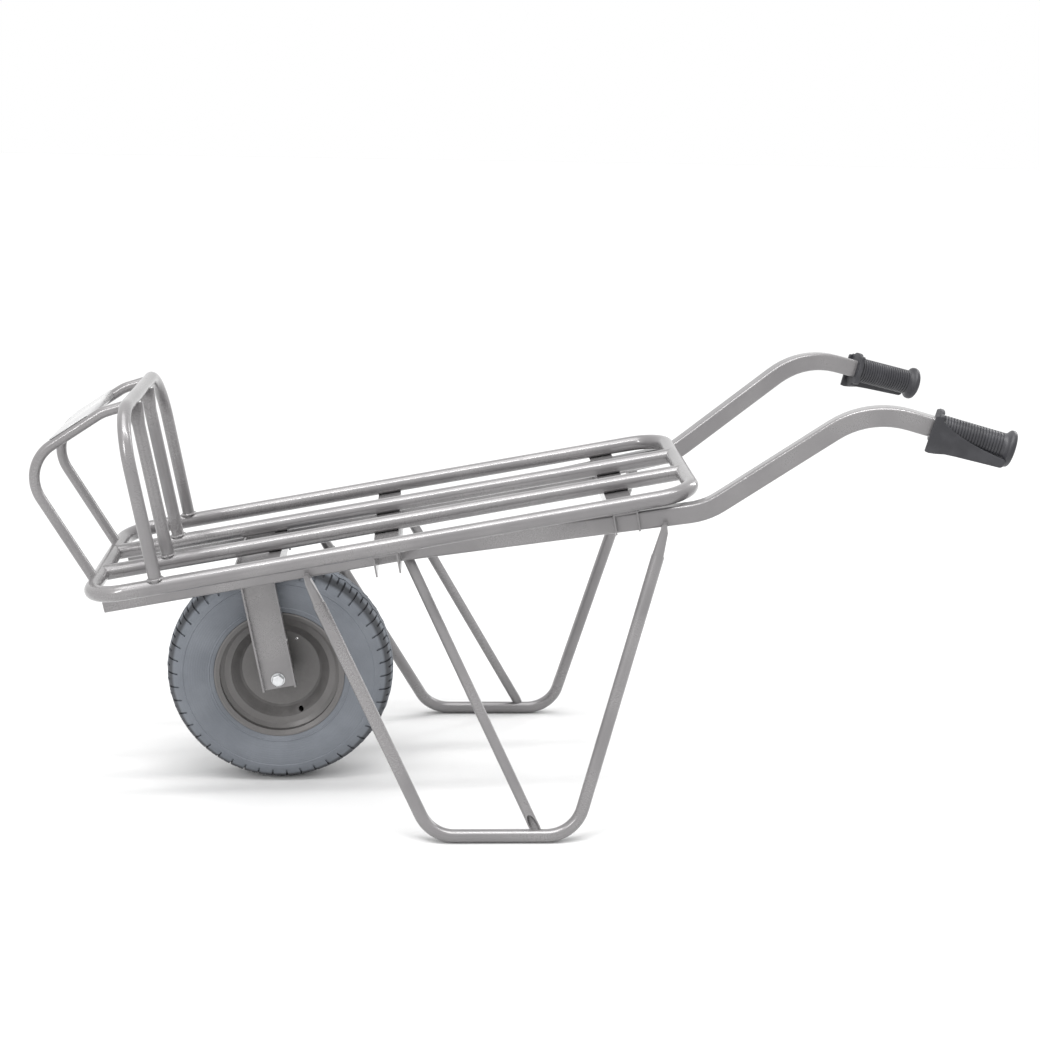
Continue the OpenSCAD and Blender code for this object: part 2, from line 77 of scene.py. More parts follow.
class Value:
    """A number that changes over a surface, on which arithmetic adds Math nodes."""

    def __init__(self, graph: "Graph", socket: bpy.types.NodeSocket) -> None:
        """Wraps an output socket.

        Args:
            graph: The graph that the socket belongs to.
            socket: The output to wrap.
        """
        self.graph = graph
        self.socket = socket

    def __add__(self, other: Number) -> "Value":
        """Sum.

        Args:
            other: What to add.

        Returns:
            The sum.
        """
        return self.graph.math("ADD", self, other)

    __radd__ = __add__

    def __sub__(self, other: Number) -> "Value":
        """Difference.

        Args:
            other: What to take away.

        Returns:
            The difference.
        """
        return self.graph.math("SUBTRACT", self, other)

    def __rsub__(self, other: Number) -> "Value":
        """Difference, reflected.

        Args:
            other: What to take this from.

        Returns:
            The difference.
        """
        return self.graph.math("SUBTRACT", other, self)

    def __mul__(self, other: Number) -> "Value":
        """Product.

        Args:
            other: What to multiply by.

        Returns:
            The product.
        """
        return self.graph.math("MULTIPLY", self, other)

    __rmul__ = __mul__


class Graph:
    """One material's node tree, with one method for every kind of node."""

    def __init__(self, name: str) -> None:
        """Starts an empty material.

        Args:
            name: The material's name.
        """
        self.material = bpy.data.materials.new(name)
        self.material.use_nodes = True
        self.tree = self.material.node_tree
        self.tree.nodes.clear()
        self.coords = self.node("ShaderNodeTexCoord").outputs["Object"]

    def node(self, kind: str, settings: Optional[dict] = None, inputs: Optional[dict] = None) -> bpy.types.Node:
        """Adds a node.

        Args:
            kind: The node's type.
            settings: Attributes set before the inputs; "stops" fills a colour ramp.
            inputs: Values, sockets or Values for the inputs, by name or number.

        Returns:
            The new node.
        """
        made = self.tree.nodes.new(kind)
        for key, value in (settings or {}).items():
            if key == "stops":
                ramp = made.color_ramp
                while len(ramp.elements) < len(value):
                    ramp.elements.new(0.5)
                for element, (place, shade) in zip(ramp.elements, value):
                    element.position = place
                    element.color = (*shade, 1.0) if isinstance(shade, tuple) else (shade, shade, shade, 1.0)
            else:
                setattr(made, key, value)
        for key, value in (inputs or {}).items():
            socket = made.inputs[key]
            if isinstance(value, Value):
                value = value.socket
            if isinstance(value, bpy.types.NodeSocket):
                self.tree.links.new(value, socket)
            else:
                socket.default_value = (*value, 1.0) if socket.type == "RGBA" and len(value) == 3 else value
        return made

    def math(self, operation: str, first: Number, second: Number = 0.0) -> Value:
        """Adds a Math node.

        Args:
            operation: The node's operation.
            first: First input.
            second: Second input.

        Returns:
            Its output.
        """
        made = self.node("ShaderNodeMath", {"operation": operation}, {0: first, 1: second})
        return Value(self, made.outputs[0])

    def noise(self, scale: float, detail: float = 3.0, rough: float = 0.5,
              stretch: Sequence[float] = (1, 1, 1)) -> Value:
        """A noise over Object coordinates.

        Args:
            scale: Cells in each metre.
            detail: Octaves.
            rough: How strong the finer octaves are.
            stretch: Scale of the coordinates on each axis.

        Returns:
            The noise, about 0 to 1.
        """
        placed = self.node("ShaderNodeMapping", None, {"Vector": self.coords, "Scale": tuple(stretch)})
        made = self.node("ShaderNodeTexNoise", None, {
            "Vector": placed.outputs[0], "Scale": scale, "Detail": detail, "Roughness": rough})
        return Value(self, made.outputs["Fac"])

    def step(self, value: Number, low: float, high: float) -> Value:
        """Maps low to high onto 0 to 1, smoothly and clamped.

        Args:
            value: What to map.
            low: What becomes 0.
            high: What becomes 1.

        Returns:
            The mapped value.
        """
        made = self.node("ShaderNodeMapRange", {"interpolation_type": "SMOOTHSTEP"}, {
            "Value": value, "From Min": low, "From Max": high})
        return Value(self, made.outputs["Result"])

    def mix(self, mask: Number, first: object, second: object) -> bpy.types.NodeSocket:
        """Blends two colours by a mask.

        Args:
            mask: 0 for the first, 1 for the second.
            first: A colour.
            second: Another colour.

        Returns:
            The blended colour.
        """
        made = self.node("ShaderNodeMix", {"data_type": "RGBA"}, {0: mask, 6: first, 7: second})
        return made.outputs[2]

    def radius(self, centre: Vector) -> Value:
        """Measures the distance from a line along Y.

        Args:
            centre: A point on the line.

        Returns:
            The distance, in metres.
        """
        parts = self.node("ShaderNodeSeparateXYZ", None, {0: self.coords})
        x = Value(self, parts.outputs[0]) - centre.x
        z = Value(self, parts.outputs[2]) - centre.z
        return self.math("SQRT", x * x + z * z)

    def bump(self, height: Number, distance: float, strength: float = 1.0) -> bpy.types.NodeSocket:
        """Makes a bump from a height.

        Args:
            height: The height, about 0 to 1.
            distance: The height of 1, in metres.
            strength: How much of the bump to use.

        Returns:
            The normal.
        """
        made = self.node("ShaderNodeBump", None, {"Height": height, "Distance": distance, "Strength": strength})
        return made.outputs[0]

    def finish(self, **inputs: object) -> bpy.types.Material:
        """Adds the surface shader and the output.

        Args:
            **inputs: The shader's inputs, with underscores for spaces.

        Returns:
            The finished material.
        """
        named = {key.replace("_", " "): value for key, value in inputs.items()}
        shader = self.node("ShaderNodeBsdfPrincipled", None, named)
        self.node("ShaderNodeOutputMaterial", None, {"Surface": shader.outputs[0]})
        return self.material


@dataclass(frozen=True)
class PowderCoat:
    """Sprayed and baked paint: a faint orange peel, drifting tone, dust and a few scuffs."""

    name: str
    tone: Color
    shade: Color
    scuff: Color
    roughness: float = 0.30
    peel: float = 0.00002
    metallic: float = 0.35

    def build(self) -> bpy.types.Material:
        """Makes the material.

        Returns:
            The material.
        """
        g = Graph(self.name)
        drift = g.step(g.noise(7.0, 4.0), 0.36, 0.66)
        speck = g.step(g.noise(900.0, 2.0), 0.36, 0.72)
        dust = g.step(g.noise(38.0, 6.0, 0.65), 0.52, 0.74)
        scratch = g.step(g.noise(55.0, 5.0, 0.7, (0.25, 3.0, 3.0)), 0.69, 0.73)
        paint = g.mix(drift, self.shade, self.tone)
        paint = g.mix(speck * 0.04, paint, self.scuff)
        paint = g.mix(dust * 0.16, paint, self.shade)
        paint = g.mix(scratch * 0.55, paint, self.scuff)
        rough = drift * -0.05 + dust * 0.14 + speck * 0.04 + self.roughness
        height = g.noise(420.0, 2.0) * 0.7 + g.noise(1500.0, 1.0) * 0.3
        return g.finish(Base_Color=paint, Roughness=rough, Metallic=self.metallic,
                        Coat_Weight=0.7, Coat_Roughness=0.10, Normal=g.bump(height, self.peel))


@dataclass(frozen=True)
class RimPaint:
    """Satin paint on pressed steel, with painted shade darkening it toward the centre of the dish, patches of dust and
    rolled rings.
    """

    name: str
    tone: Color
    # colour of the painted shade in the dish, and of random fine flecks
    hub_shade_and_fleck: Color
    dust: Color
    axle: Vector

    def build(self) -> bpy.types.Material:
        """Makes the material.

        Returns:
            The material.
        """
        g = Graph(self.name)
        r = g.radius(self.axle)
        rings = g.math("SINE", r * (TURN / 0.0016))
        # painted shade: near the centre the dish is mixed toward the shade colour, standing in for the shade that falls
        # in it
        painted_hub_shade = 1.0 - g.step(r, 0.018, 0.078)
        grime = g.step(g.noise(60.0, 6.0, 0.6), 0.45, 0.72)
        fine = g.noise(700.0, 2.0)
        # painted shade toward the centre of the dish
        paint = g.mix(painted_hub_shade * 0.55, self.tone, self.hub_shade_and_fleck)
        paint = g.mix(grime * 0.28, paint, self.dust)
        paint = g.mix(g.step(fine, 0.5, 0.8) * 0.15, paint, self.hub_shade_and_fleck)
        rough = grime * 0.18 + fine * 0.06 + 0.34
        height = rings * 0.12 + g.noise(260.0, 3.0) * 0.6
        return g.finish(Base_Color=paint, Roughness=rough, Metallic=0.3,
                        Coat_Weight=0.2, Coat_Roughness=0.25, Normal=g.bump(height, 0.00010))


@dataclass(frozen=True)
class TyreRubber:
    """Matte grey rubber: moulding rings on the wall, bloom, dust, a pitted skin with random specks, and painted shade
    in the grooves and on a band round the shoulders.
    """

    name: str
    tone: Color
    bloom: Color
    # colour of the painted shade in the grooves and shoulder band, and of random specks of the skin
    groove_shade_and_fleck: Color
    axle: Vector
    crown: float

    def build(self) -> bpy.types.Material:
        """Makes the material.

        Returns:
            The material.
        """
        g = Graph(self.name)
        r = g.radius(self.axle)
        cloud = g.step(g.noise(9.0, 5.0, 0.55), 0.35, 0.7)
        smear = g.step(g.noise(26.0, 6.0, 0.65, (1.0, 1.0, 0.4)), 0.5, 0.72)
        pits = g.noise(1100.0, 3.0, 0.6)
        # painted shade: these masks pick the groove bottoms and a band round the shoulders, where the sipes are
        groove = 1.0 - g.step(r, self.crown - 0.0052, self.crown - 0.0022)
        tread = g.step(r, self.crown - 0.016, self.crown - 0.010)
        rings = g.math("SINE", r * (TURN / 0.0042))
        rubber = g.mix(cloud * 0.6, self.tone, self.bloom)
        rubber = g.mix(smear * 0.25, rubber, self.bloom)
        rubber = g.mix(g.step(pits, 0.55, 0.75) * 0.18, rubber, self.groove_shade_and_fleck)
        # painted shade in the grooves and on the shoulder band
        rubber = g.mix(groove * tread * 0.82, rubber, self.groove_shade_and_fleck)
        rough = smear * 0.12 + pits * 0.1 + 0.58
        height = pits * 0.55 + rings * 0.25 + g.noise(240.0, 4.0) * 0.5
        return g.finish(Base_Color=rubber, Roughness=rough, Normal=g.bump(height, 0.00022))


@dataclass(frozen=True)
class GripPlastic:
    """Soft moulded plastic with a fine sandy skin and handling shine."""

    name: str
    tone: Color
    worn: Color

    def build(self) -> bpy.types.Material:
        """Makes the material.

        Returns:
            The material.
        """
        g = Graph(self.name)
        sand = g.noise(1600.0, 2.0, 0.6)
        handled = g.step(g.noise(30.0, 4.0), 0.42, 0.68)
        scuffs = g.step(g.noise(120.0, 5.0, 0.7, (0.3, 2.0, 2.0)), 0.66, 0.74)
        plastic = g.mix(handled * 0.5, self.tone, self.worn)
        plastic = g.mix(scuffs * 0.35, plastic, self.worn)
        rough = sand * 0.14 - handled * 0.08 + 0.42
        return g.finish(Base_Color=plastic, Roughness=rough, Normal=g.bump(sand, 0.00012))


@dataclass(frozen=True)
class BareMetal:
    """Plated or turned steel with fine lay marks and dull patches."""

    name: str
    tone: Color
    dull: Color
    roughness: float
    axle: Vector

    def build(self) -> bpy.types.Material:
        """Makes the material.

        Returns:
            The material.
        """
        g = Graph(self.name)
        lay = g.math("SINE", g.radius(self.axle) * (TURN / 0.0006))
        patch = g.step(g.noise(180.0, 5.0, 0.6), 0.4, 0.7)
        grain = g.noise(2200.0, 2.0)
        metal = g.mix(patch * 0.5, self.tone, self.dull)
        rough = patch * 0.14 + grain * 0.08 + self.roughness
        return g.finish(Base_Color=metal, Roughness=rough, Metallic=0.9,
                        Normal=g.bump(lay * 0.2 + grain, 0.00004))


# ---- Modelling bench ----


class Bench:
    """Modelling steps done with the mesh operators."""

    @staticmethod
    def clear() -> None:
        """Leaves nothing selected."""
        if bpy.context.mode != "OBJECT":
            bpy.ops.object.mode_set(mode="OBJECT")
        bpy.ops.object.select_all(action="DESELECT")

    @staticmethod
    def edit(select: str = "SELECT", mode: str = "VERT") -> None:
        """Enters edit mode with all or nothing selected.

        Args:
            select: SELECT or DESELECT.
            mode: VERT, EDGE or FACE.
        """
        bpy.ops.object.mode_set(mode="EDIT")
        bpy.ops.mesh.select_mode(type=mode)
        bpy.ops.mesh.select_all(action=select)

    @classmethod
    def chain(cls, name: str, points: Sequence[Vector], close: bool = False) -> bpy.types.Object:
        """Draws a chain of edges by extruding one point.

        Args:
            name: The new object's name.
            points: The chain's corners.
            close: Whether the last corner joins the first.

        Returns:
            The new object, in edit mode with all of it selected.
        """
        cls.clear()
        bpy.ops.mesh.primitive_plane_add(size=0.002)
        made = bpy.context.object
        made.name = made.data.name = name
        cls.edit()
        bpy.ops.mesh.merge(type="CENTER")
        bpy.ops.transform.translate(value=points[0])
        for before, after in zip(points, points[1:]):
            bpy.ops.mesh.extrude_region_move(TRANSFORM_OT_translate={"value": after - before})
        bpy.ops.mesh.select_all(action="SELECT")
        if close:
            bpy.ops.mesh.edge_face_add()
        return made

    @classmethod
    def lathe(cls, name: str, outline: Sequence[Pair], steps: int, place: Matrix) -> bpy.types.Object:
        """Spins an outline round Z and moves it to its place.

        Args:
            name: The new object's name.
            outline: (radius, height) corners.
            steps: Facets round the axis.
            place: Where the local frame goes.

        Returns:
            The new object, its place in its mesh.
        """
        made = cls.chain(name, [Vector((r, 0.0, h)) for r, h in outline])
        bpy.ops.mesh.spin(steps=steps, angle=TURN, center=(0, 0, 0), axis=(0, 0, 1))
        bpy.ops.mesh.select_all(action="SELECT")
        bpy.ops.mesh.remove_doubles(threshold=WELD_GAP)
        bpy.ops.mesh.normals_make_consistent(inside=False)
        cls.clear()
        return cls.settle(made, place)

    @classmethod
    def prism(cls, name: str, outline: Sequence[Pair], depth: float, round_off: float, place: Matrix,
              segments: int = 3) -> bpy.types.Object:
        """Fills an outline in the XY plane, thickens it along Z and rounds its edges.

        Args:
            name: The new object's name.
            outline: (x, y) corners, in order.
            depth: Thickness.
            round_off: Radius of the rounded edges.
            place: Where the local frame goes.
            segments: Facets across each rounded edge.

        Returns:
            The new object, its place in its mesh.
        """
        made = cls.chain(name, [Vector((x, y, 0.0)) for x, y in outline], close=True)
        bpy.ops.mesh.extrude_region_move(TRANSFORM_OT_translate={"value": (0, 0, depth)})
        bpy.ops.mesh.select_all(action="SELECT")
        bpy.ops.mesh.normals_make_consistent(inside=False)
        cls.clear()
        cls.apply(made, "BEVEL", width=round_off, segments=segments, limit_method="ANGLE", angle_limit=math.radians(25))
        return cls.settle(made, place)

    @classmethod
    def apply(cls, made: bpy.types.Object, kind: str, **settings: object) -> None:
        """Adds a modifier and applies it.

        Args:
            made: The object.
            kind: The modifier's type.
            **settings: Its settings.
        """
        cls.only(made)
        added = made.modifiers.new(kind.title(), kind)
        for key, value in settings.items():
            setattr(added, key, value)
        bpy.ops.object.modifier_apply(modifier=added.name)

    @classmethod
    def only(cls, made: bpy.types.Object) -> None:
        """Selects one object alone and makes it active.

        Args:
            made: The object.
        """
        cls.clear()
        made.select_set(True)
        bpy.context.view_layer.objects.active = made

    @classmethod
    def settle(cls, made: bpy.types.Object, place: Matrix, angle: float = 35.0) -> bpy.types.Object:
        """Puts a place into a mesh, turns a mirrored one right side out, and shades it.

        Args:
            made: The object, at the origin.
            place: Where its local frame goes.
            angle: Edges sharper than this stay sharp, in degrees.

        Returns:
            The same object.
        """
        made.data.transform(made.matrix_world)
        made.matrix_world = Matrix.Identity(4)
        made.data.transform(place)
        if place.determinant() < 0:
            made.data.flip_normals()
        cls.only(made)
        bpy.ops.object.shade_smooth_by_angle(angle=math.radians(angle))
        return made

    @classmethod
    def join(cls, name: str, parts: Sequence[bpy.types.Object]) -> bpy.types.Object:
        """Joins objects into the first of them.

        Args:
            name: The name of the result.
            parts: The objects.

        Returns:
            The joined object.
        """
        cls.clear()
        for part in parts:
            part.select_set(True)
        bpy.context.view_layer.objects.active = parts[0]
        if len(parts) > 1:
            bpy.ops.object.join()
        parts[0].name = parts[0].data.name = name
        return parts[0]

    @staticmethod
    def pick(made: bpy.types.Object, test: Callable[[bpy.types.MeshPolygon], bool]) -> None:
        """Selects the faces that pass a test, in object mode.

        Args:
            made: The object.
            test: Says whether a face is wanted.
        """
        for face in made.data.polygons:
            face.select = bool(test(face))


def frame_matrix(origin: Vector, forward: Vector, out: Vector) -> Matrix:
    """Makes a frame with Z along forward and X as near out as it can be.

    Args:
        origin: The frame's origin.
        forward: Direction of Z.
        out: Rough direction of X.

    Returns:
        The matrix.
    """
    z = forward.normalized()
    x = (out - z * out.dot(z)).normalized()
    y = z.cross(x)
    made = Matrix((x, y, z)).transposed().to_4x4()
    made.translation = origin
    return made


def dress(piece: bpy.types.Object, finish: bpy.types.Material) -> None:
    """Gives an object one material.

    Args:
        piece: The object.
        finish: The material.
    """
    piece.data.materials.clear()
    piece.data.materials.append(finish)


def place_piece(piece: bpy.types.Object, body: Body, slot: str, finish: bpy.types.Material, *nodes: str) -> None:
    """Dresses a new piece, rides it on a body, hides the CAD nodes that it replaces and logs its face count.

    Args:
        piece: The new piece.
        body: The body that carries it.
        slot: The record's material slot; not used.
        finish: Its material.
        *nodes: CAD nodes that it replaces.
    """
    dress(piece, finish)
    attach(piece, body.value)
    if nodes:
        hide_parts(*nodes)
    LOG.info("%s: %d faces on %s", piece.name, len(piece.data.polygons), body.value)


# ---- New pieces ----


@dataclass
class Tyre:
    """The pneumatic tyre, with its shoulder sipes and its two zigzag grooves."""

    lugs: int = 46
    per_lug: int = 8
    depth: float = 0.0034
    groove: Pair = (0.0085, 0.0140)
    shoulder: Pair = (0.1775, 0.1982)
    sway: float = 0.0042
    half: tuple[Pair, ...] = (
        (0.1075, 0.0380), (0.1145, 0.0411), (0.1152, 0.0430), (0.1180, 0.0446), (0.1216, 0.0454), (0.1224, 0.0463),
        (0.1244, 0.0465), (0.1252, 0.0459), (0.1300, 0.0472), (0.1360, 0.0487), (0.1430, 0.0499), (0.1500, 0.0504),
        (0.1560, 0.0505), (0.1620, 0.0501), (0.1672, 0.0493), (0.1682, 0.0500), (0.1725, 0.0494), (0.1775, 0.0473),
        (0.1820, 0.0448), (0.1860, 0.0419), (0.1897, 0.0385), (0.1926, 0.0348), (0.1949, 0.0309), (0.1967, 0.0262),
        (0.1980, 0.0205), (0.1987, 0.0170), (0.1992, 0.0135), (0.1996, 0.0085), (0.1998, 0.0040))

    def build(self, axle: Vector) -> bpy.types.Object:
        """Spins the section, sways the crown and sinks the grooves.

        Args:
            axle: The wheel's centre.

        Returns:
            The tyre.
        """
        outline = list(self.half) + [(r, -y) for r, y in reversed(self.half)]
        made = Bench.lathe("tyre_tread", outline, self.lugs * self.per_lug, Matrix.Identity(4))
        for phase in range(self.per_lug):
            self.sway_phase(made, phase)
        Bench.only(made)
        Bench.edit("DESELECT", "FACE")
        bpy.ops.object.mode_set(mode="OBJECT")
        Bench.pick(made, self.is_sunk)
        bpy.ops.object.mode_set(mode="EDIT")
        bpy.ops.mesh.extrude_region_shrink_fatten(TRANSFORM_OT_shrink_fatten={"value": -self.depth})
        Bench.clear()
        return Bench.settle(made, frame_matrix(axle, Vector((0, 1, 0)), Vector((1, 0, 0))), 28.0)

    def sector(self, x: float, y: float) -> float:
        """Counts the facets round the tyre as far as a point on it.

        Args:
            x: First coordinate across the axle.
            y: Second coordinate across the axle.

        Returns:
            The number, with its fraction.
        """
        return (math.atan2(y, x) / (TURN) % 1.0) * self.lugs * self.per_lug

    def sway_phase(self, made: bpy.types.Object, phase: int) -> None:
        """Moves the crown's corners of one phase sideways, to make the grooves zigzag.

        Args:
            made: The tyre.
            phase: The facet number within a lug.
        """
        Bench.only(made)
        Bench.edit("DESELECT", "VERT")
        bpy.ops.object.mode_set(mode="OBJECT")
        for corner in made.data.vertices:
            x, y, z = corner.co
            corner.select = abs(z) < 0.0182 and round(self.sector(x, y)) % self.per_lug == phase
        bpy.ops.object.mode_set(mode="EDIT")
        swing = abs(phase / self.per_lug - 0.5) * 4 - 1
        bpy.ops.transform.translate(value=(0, 0, self.sway * swing))
        Bench.clear()

    def is_sunk(self, face: bpy.types.MeshPolygon) -> bool:
        """Says whether a facet belongs to a sipe or a groove.

        Args:
            face: The facet.

        Returns:
            True if it is sunk.
        """
        x, y, z = face.center
        r = math.hypot(x, y)
        place = int(self.sector(x, y)) % self.per_lug
        swing = abs((place + 0.5) / self.per_lug - 0.5) * 4 - 1
        level = abs(z - self.sway * swing)
        if r > 0.1972 and self.groove[0] < level < self.groove[1]:
            return True
        half_way = place == self.per_lug // 2 and r > 0.1935 and abs(z) > self.groove[1]
        return half_way or (place == 0 and self.shoulder[0] < r and abs(z) > self.groove[1])


@dataclass
class Grip:
    """One hand grip: ringed barrel, flared end, collar with a bump above and below, and an outer guard."""

    side: Side
    origin: Vector = field(default_factory=lambda: Vector((0.78736, 0.30186, 0.67156)))
    axis: Vector = field(default_factory=lambda: Vector((0.9568, 0.1476, -0.2503)))
    out: Vector = field(default_factory=lambda: Vector((-0.1601, 0.9867, -0.0299)))
    up: Vector = field(default_factory=lambda: Vector((0.2426, 0.0686, 0.9677)))
    rings: int = 21
    pitch: float = 0.0048
    barrel: float = 0.0227
    dip: float = 0.0012
    guard: tuple[Pair, ...] = (
        (-0.1295, -0.0375), (-0.1295, 0.0225), (-0.1265, 0.0243), (-0.1225, 0.0238), (-0.1170, 0.0192),
        (-0.1080, 0.0125), (-0.0960, 0.0062), (-0.0800, 0.0004), (-0.0600, -0.0052), (-0.0380, -0.0098),
        (-0.0180, -0.0128), (-0.0050, -0.0140), (-0.0030, -0.0185), (-0.0040, -0.0260), (-0.0080, -0.0292),
        (-0.0400, -0.0305), (-0.0800, -0.0322), (-0.0980, -0.0335), (-0.1120, -0.0368), (-0.1230, -0.0384))
    collar: tuple[Pair, ...] = (
        (-0.0265, -0.0240), (-0.0265, 0.0235), (-0.0235, 0.0262), (-0.0130, 0.0262), (-0.0105, 0.0290),
        (-0.0060, 0.0303), (0.0060, 0.0303), (0.0105, 0.0290), (0.0130, 0.0262), (0.0235, 0.0262), (0.0265, 0.0235),
        (0.0265, -0.0240), (0.0235, -0.0270), (0.0120, -0.0275), (0.0090, -0.0325), (0.0040, -0.0345),
        (-0.0040, -0.0345), (-0.0090, -0.0325), (-0.0120, -0.0275), (-0.0235, -0.0270))

    def local(self, kind: str) -> Matrix:
        """The place of a part of the grip.

        Args:
            kind: "axis" puts Z along the grip, "guard" puts Z outward with X along the grip.

        Returns:
            The matrix, mirrored for the left side.
        """
        columns = {"axis": (self.out, self.up, self.axis), "guard": (self.axis, self.up, self.out)}[kind]
        made = Matrix([c.normalized() for c in columns]).transposed().to_4x4()
        made.translation = self.origin
        mirror = Matrix.Scale(self.side.value, 4, Vector((0, 1, 0)))
        return mirror @ made

    def barrel_outline(self) -> list[Pair]:
        """Draws the turned section.

        Returns:
            (radius, place along the grip) corners.
        """
        outline = [(0.0, -0.1235), (self.barrel - 0.001, -0.1235), (self.barrel, -0.1220)]
        start = -0.1135
        for ring in range(self.rings):
            at = start + ring * self.pitch
            outline += [(self.barrel, at), (self.barrel - self.dip, at + 0.0006), (self.barrel - self.dip, at + 0.0013),
                        (self.barrel, at + 0.0019)]
        outline += [(self.barrel, -0.0112), (self.barrel + 0.0012, -0.0088), (0.0270, -0.0062), (0.0292, -0.0042),
                    (0.0298, -0.0022), (0.0298, 0.0012), (0.0288, 0.0034), (0.0266, 0.0050), (0.0225, 0.0058),
                    (0.0150, 0.0060), (0.0, 0.0060)]
        return outline

    def build(self) -> bpy.types.Object:
        """Makes the grip and joins its parts.

        Returns:
            The grip.
        """
        name = f"{self.side.name.lower()}_hand_grip"
        barrel = Bench.lathe(name, self.barrel_outline(), 64, self.local("axis"))
        sunk = Matrix.Translation((0, 0, -0.1240))
        collar = Bench.prism("collar", self.collar, 0.0085, 0.0020, self.local("axis") @ sunk, 4)
        lift = Matrix.Translation((0, 0, 0.0196))
        guard = Bench.prism("guard", self.guard, 0.0068, 0.0024, self.local("guard") @ lift, 4)
        return Bench.join(name, [barrel, collar, guard])


@dataclass
class BowPlate:
    """The blank plate across the bow: thin sheet with rounded corners and a folded rear edge."""

    width: float = 0.2416
    slope: float = 0.0755
    fold: float = 0.0112
    sheet: float = 0.0015
    corner: float = 0.006

    def build(self) -> bpy.types.Object:
        """Draws the sheet flat, folds its rear edge and gives it its thickness.

        Returns:
            The plate.
        """
        along = Vector((0.8349, 0, 0.5505))
        normal = Vector((-0.5505, 0, 0.8349))
        made = Bench.chain("bow_name_plate", self.outline(), close=True)
        Bench.only(made)
        Bench.edit("DESELECT", "EDGE")
        bpy.ops.object.mode_set(mode="OBJECT")
        top = max(v.co.y for v in made.data.vertices)
        for edge in made.data.edges:
            edge.select = all(made.data.vertices[i].co.y > top - 1e-5 for i in edge.vertices)
        bpy.ops.object.mode_set(mode="EDIT")
        bpy.ops.mesh.extrude_region_move(TRANSFORM_OT_translate={"value": (0, 0.0007, -0.0010)})
        bpy.ops.mesh.extrude_region_move(TRANSFORM_OT_translate={"value": (0, 0.0003, -0.0016)})
        bpy.ops.mesh.extrude_region_move(TRANSFORM_OT_translate={"value": (0, 0, 0.0026 - self.fold)})
        Bench.clear()
        Bench.apply(made, "SOLIDIFY", thickness=self.sheet, offset=-1.0)
        Bench.apply(made, "BEVEL", width=0.0003, segments=2, limit_method="ANGLE", angle_limit=math.radians(50))
        place = Matrix((Vector((0, -1, 0)), along, normal)).transposed().to_4x4()
        place.translation = Vector((-0.7647, 0, 0.6343))
        return Bench.settle(made, place)

    def outline(self) -> list[Vector]:
        """Draws the flat sheet: rounded corners at the front edge, square ones at the fold.

        Returns:
            The corners, in order.
        """
        half, c = self.width / 2, self.corner
        front = []
        for sign in (-1, 1):
            turns = [math.radians(a) for a in (0, 22.5, 45, 67.5, 90)]
            arc = [Vector((sign * (half - c + c * math.cos(a)), c - c * math.sin(a), 0)) for a in turns]
            front += arc if sign < 0 else list(reversed(arc))
        return front + [Vector((half, self.slope, 0)), Vector((-half, self.slope, 0))]


@dataclass
class WeldRing:
    """A lumpy bead of weld round a tube's end."""

    name: str
    centre: Vector
    normal: Vector
    radius: float
    bead: float = 0.0028
    seed: int = 3

    def build(self) -> bpy.types.Object:
        """Spins the bead's section and ripples it.

        Returns:
            The bead.
        """
        turns = [math.radians(a) for a in range(0, 360, 45)]
        outline = [(self.radius + self.bead * math.cos(a), self.bead * 0.75 * math.sin(a)) for a in turns]
        outline.append(outline[0])
        made = Bench.lathe(self.name, outline, 56, Matrix.Identity(4))
        Bench.only(made)
        Bench.edit()
        bpy.ops.transform.vertex_random(offset=self.bead * 0.22, uniform=0.2, normal=0.8, seed=self.seed)
        Bench.clear()
        Bench.apply(made, "SUBSURF", levels=1, render_levels=1)
        side = Vector((0, 1, 0)) if abs(self.normal.y) < 0.9 else Vector((1, 0, 0))
        return Bench.settle(made, frame_matrix(self.centre, self.normal, side), 60.0)


@dataclass
class AxleBolt:
    """The zinc hexagon bolt through the fork: chamfered head on the left, and its shank."""

    flat: float = 0.019
    inner: float = -0.0705
    outer: float = -0.0780
    shank: float = 0.0059

    def build(self, axle: Vector) -> bpy.types.Object:
        """Turns a six-sided blank, chamfers it and adds the shank.

        Args:
            axle: The wheel's centre.

        Returns:
            The bolt.
        """
        corner = self.flat / 2 / math.cos(math.pi / 6)
        height = self.inner - self.outer
        outline = [(0.0, 0.0), (corner, 0.0), (corner, height - 0.0012), (corner * 0.88, height), (0.0, height)]
        head = Bench.lathe("axle_hex_bolt", outline, 6, Matrix.Identity(4))
        Bench.apply(head, "BEVEL", width=0.0004, segments=2, limit_method="ANGLE", angle_limit=math.radians(30))
        at = Vector((axle.x, self.inner, axle.z))
        place = frame_matrix(at, Vector((0, -1, 0)), Vector((0.94, 0, 0.34)))
        Bench.settle(head, place, 25.0)
        end = self.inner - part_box("axle_bolt")[1].y
        r = self.shank
        shank = Bench.lathe("shank", [(0.0, 0.0), (r, 0.0), (r, end + 0.001), (r - 0.001, end), (0.0, end)], 40, place)
        return Bench.join("axle_hex_bolt", [head, shank])


# ---- The whole ----


